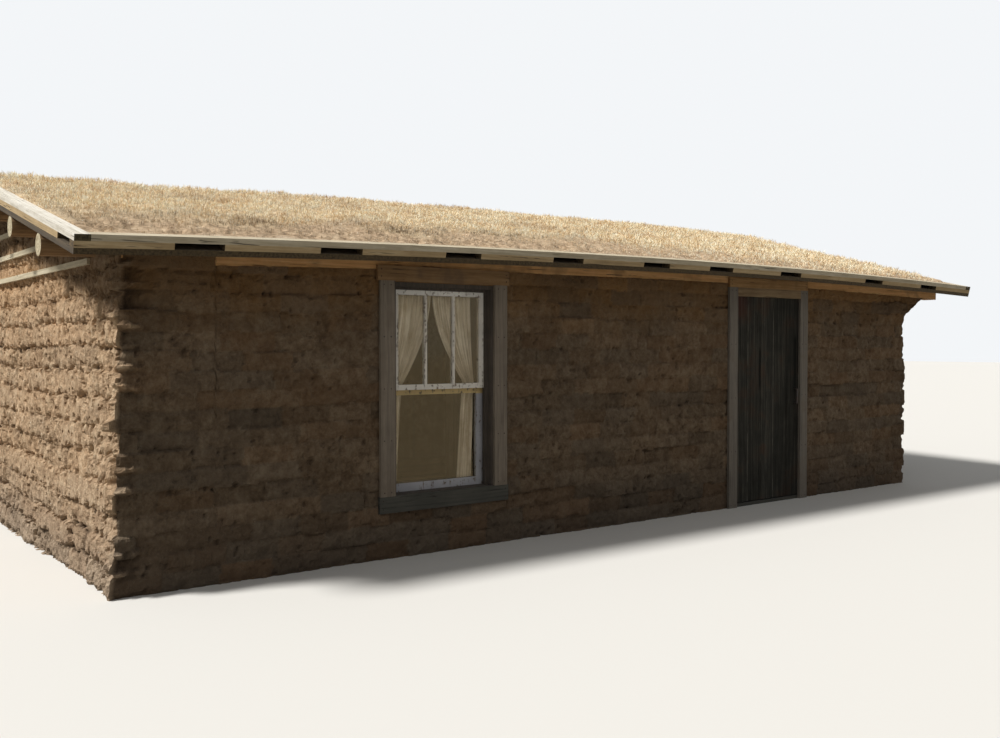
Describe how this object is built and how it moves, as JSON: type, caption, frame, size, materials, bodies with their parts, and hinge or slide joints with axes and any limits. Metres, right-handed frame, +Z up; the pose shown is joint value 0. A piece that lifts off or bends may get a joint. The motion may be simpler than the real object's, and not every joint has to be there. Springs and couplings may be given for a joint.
{
  "type": "turf house",
  "caption": "One-room turf house with sod walls, a low gabled turf roof on logs and boards, a curtained sash window and a hinged plank door.",
  "frame": {"origin": "centre of the roof's plan, at the foot of the walls", "axes": "X along the front wall, to the right as seen from in front of it, Y from the front wall to the back wall, Z up"},
  "size_m": [9.42, 6.2748, 2.8993],
  "materials": {
    "sod_wall": "dry laid sod bricks, earth brown, rough, with root fibres",
    "roof_turf": "dry straw coloured grass on grey brown earth",
    "roof_boards": "bare sawn boards, weathered grey",
    "curb_blocks": "bare softwood, weathered grey green",
    "curb_boards": "bare softwood, bleached pale",
    "logs": "peeled logs, weathered brown grey",
    "plate_timber": "sawn timber, orange brown, matt",
    "gable_boards": "bare planks, weathered grey brown",
    "floor_boards": "worn bare boards",
    "frame_timber": "rough planks, dark grey brown",
    "door_boards": "bare planks, weathered dark grey",
    "casing_boards": "bare boards, weathered grey",
    "warm_boards": "bare boards, weathered ochre brown",
    "hinge_iron": "forged iron, dark, dull",
    "sash_paint": "white paint, peeling to grey wood",
    "window_glass": "clear old glass, glossy",
    "curtain_cloth": "thin cream cotton, matt"
  },
  "bodies": {
    "house": {"back_roof_deck": "roof_boards", "back_turf": "roof_turf", "back_wall": "sod_wall", "curtain_left": "curtain_cloth", "curtain_right": "curtain_cloth", "curtain_rod": "hinge_iron", "door_casings": "casing_boards", "door_head": "frame_timber", "door_head_board": "casing_boards", "door_hinge_pins": "hinge_iron", "door_jambs": "frame_timber", "door_lintel_board": "warm_boards", "door_threshold": "frame_timber", "eave_curb_blocks": "curb_blocks", "eave_curb_boards": "curb_boards", "floor": "floor_boards", "front_roof_deck": "roof_boards", "front_turf": "roof_turf", "front_wall_left": "sod_wall", "front_wall_middle": "sod_wall", "front_wall_over_door": "sod_wall", "front_wall_over_window": "sod_wall", "front_wall_right": "sod_wall", "front_wall_under_window": "sod_wall", "gable_planks": "gable_boards", "left_gable_wall": "sod_wall", "lower_sash": "sash_paint", "purlin_logs": "logs", "rake_curb_blocks": "curb_blocks", "rake_curb_boards": "curb_boards", "ridge_log": "logs", "right_gable_wall": "sod_wall", "upper_sash": "sash_paint", "wall_plates": "plate_timber", "window_casings": "casing_boards", "window_glass": "window_glass", "window_head_casing": "warm_boards", "window_lining": "frame_timber", "window_sill_board": "casing_boards", "window_stops": "frame_timber"},
    "door": {"door_planks": "door_boards", "door_ledges": "door_boards", "door_hinge_straps": "hinge_iron", "door_pull": "hinge_iron"}
  },
  "joints": [
    {"name": "door_hinge", "type": "hinge", "parent": "house", "child": "door", "pos_m": [1.142, -2.752, 1], "axis": [0, 0, 1], "range_deg": [0, 90]}
  ]
}
